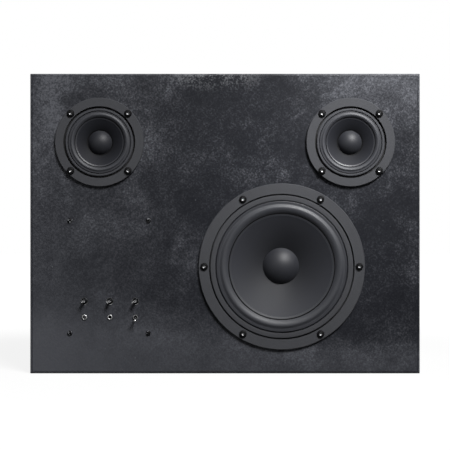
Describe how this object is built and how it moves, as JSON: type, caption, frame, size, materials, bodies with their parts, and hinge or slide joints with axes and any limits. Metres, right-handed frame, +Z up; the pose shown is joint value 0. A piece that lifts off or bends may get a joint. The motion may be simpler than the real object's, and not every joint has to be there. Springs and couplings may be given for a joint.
{
  "type": "powered speaker",
  "caption": "Powered loudspeaker in a flat-sided folded steel cabinet with a woofer, two small drivers, bare control shafts, a line socket and a mains inlet.",
  "frame": {"origin": "middle of the cabinet's underside", "axes": "+Z up, front panel faces -Y, +X to the listener's right"},
  "size_m": [0.468, 0.173, 0.36],
  "materials": {
    "black_steel": "mottled blackened sheet",
    "cast_frame": "matte grey-black coating",
    "rubber": "matte",
    "cone_poly": "satin black",
    "copper_coil": "enamelled wire",
    "spider_cloth": "impregnated weave",
    "zinc_steel": "zinc plated",
    "ferrite": "sintered",
    "black_screw": "black oxide",
    "board_green": "solder resist",
    "bare_aluminium": "extruded",
    "core_iron": "varnished laminations",
    "can_sleeve": "shrink sleeve",
    "turned_steel": "turned",
    "bright_plate": "nickel plated",
    "lamp_clear": "unlit lens",
    "black_moulding": "fine texture",
    "foam": "open cell"
  },
  "bodies": {
    "cabinet_body": {"cabinet_shell": "black_steel", "back_panel": "black_steel", "back_seal": "rubber", "back_screws": "black_screw", "damping_foam": "foam", "module_tray": "zinc_steel", "module_spacers": "zinc_steel", "module_screws": "black_screw", "amplifier_board": "board_green", "heat_sink": "bare_aluminium", "mains_transformer": "core_iron", "reservoir_capacitors": "can_sleeve", "indicator_bezel": "bright_plate", "indicator_lamp": "lamp_clear", "line_socket": "bright_plate", "power_switch": "turned_steel", "mains_inlet": "black_moulding", "mains_inlet_pins": "bright_plate", "woofer_basket": "cast_frame", "woofer_front_gasket": "rubber", "woofer_surround": "rubber", "woofer_spider": "spider_cloth", "woofer_top_plate": "zinc_steel", "woofer_magnet": "ferrite", "woofer_yoke": "zinc_steel", "woofer_screws": "black_screw", "left_driver_basket": "cast_frame", "left_driver_front_gasket": "rubber", "left_driver_surround": "rubber", "left_driver_spider": "spider_cloth", "left_driver_top_plate": "zinc_steel", "left_driver_magnet": "ferrite", "left_driver_yoke": "zinc_steel", "left_driver_screws": "black_screw", "right_driver_basket": "cast_frame", "right_driver_front_gasket": "rubber", "right_driver_surround": "rubber", "right_driver_spider": "spider_cloth", "right_driver_top_plate": "zinc_steel", "right_driver_magnet": "ferrite", "right_driver_yoke": "zinc_steel", "right_driver_screws": "black_screw", "volume_control": "turned_steel", "bass_control": "turned_steel", "treble_control": "turned_steel"},
    "woofer_cone_body": {"woofer_cone": "cone_poly", "woofer_dust_cap": "cone_poly", "woofer_voice_coil": "copper_coil"},
    "left_driver_cone_body": {"left_driver_cone": "cone_poly", "left_driver_dust_cap": "cone_poly", "left_driver_voice_coil": "copper_coil"},
    "right_driver_cone_body": {"right_driver_cone": "cone_poly", "right_driver_dust_cap": "cone_poly", "right_driver_voice_coil": "copper_coil"},
    "volume_shaft_body": {"volume_shaft": "turned_steel"},
    "bass_shaft_body": {"bass_shaft": "turned_steel"},
    "treble_shaft_body": {"treble_shaft": "turned_steel"},
    "power_lever_body": {"power_lever": "bright_plate"}
  },
  "joints": [
    {"name": "woofer_stroke", "type": "slide", "parent": "cabinet_body", "child": "woofer_cone_body", "axis": [0, -1, 0], "range_m": [-0.004, 0.004], "stiffness_N_per_m": 1000, "deforming": ["woofer_surround", "woofer_spider"]},
    {"name": "left_driver_stroke", "type": "slide", "parent": "cabinet_body", "child": "left_driver_cone_body", "axis": [0, -1, 0], "range_m": [-0.002, 0.002], "stiffness_N_per_m": 600, "deforming": ["left_driver_surround", "left_driver_spider"]},
    {"name": "right_driver_stroke", "type": "slide", "parent": "cabinet_body", "child": "right_driver_cone_body", "axis": [0, -1, 0], "range_m": [-0.002, 0.002], "stiffness_N_per_m": 600, "deforming": ["right_driver_surround", "right_driver_spider"]},
    {"name": "volume_turn", "type": "hinge", "parent": "cabinet_body", "child": "volume_shaft_body", "pos_m": [-0.1686, -0.08, 0.087], "axis": [0, 1, 0], "range_deg": [-150, 150]},
    {"name": "bass_turn", "type": "hinge", "parent": "cabinet_body", "child": "bass_shaft_body", "pos_m": [-0.138, -0.08, 0.087], "axis": [0, 1, 0], "range_deg": [-150, 150]},
    {"name": "treble_turn", "type": "hinge", "parent": "cabinet_body", "child": "treble_shaft_body", "pos_m": [-0.1074, -0.08, 0.087], "axis": [0, 1, 0], "range_deg": [-150, 150]},
    {"name": "power_flip", "type": "hinge", "parent": "cabinet_body", "child": "power_lever_body", "pos_m": [-0.1074, -0.0795, 0.0677], "axis": [-1, 0, 0], "range_deg": [0, 32]}
  ]
}
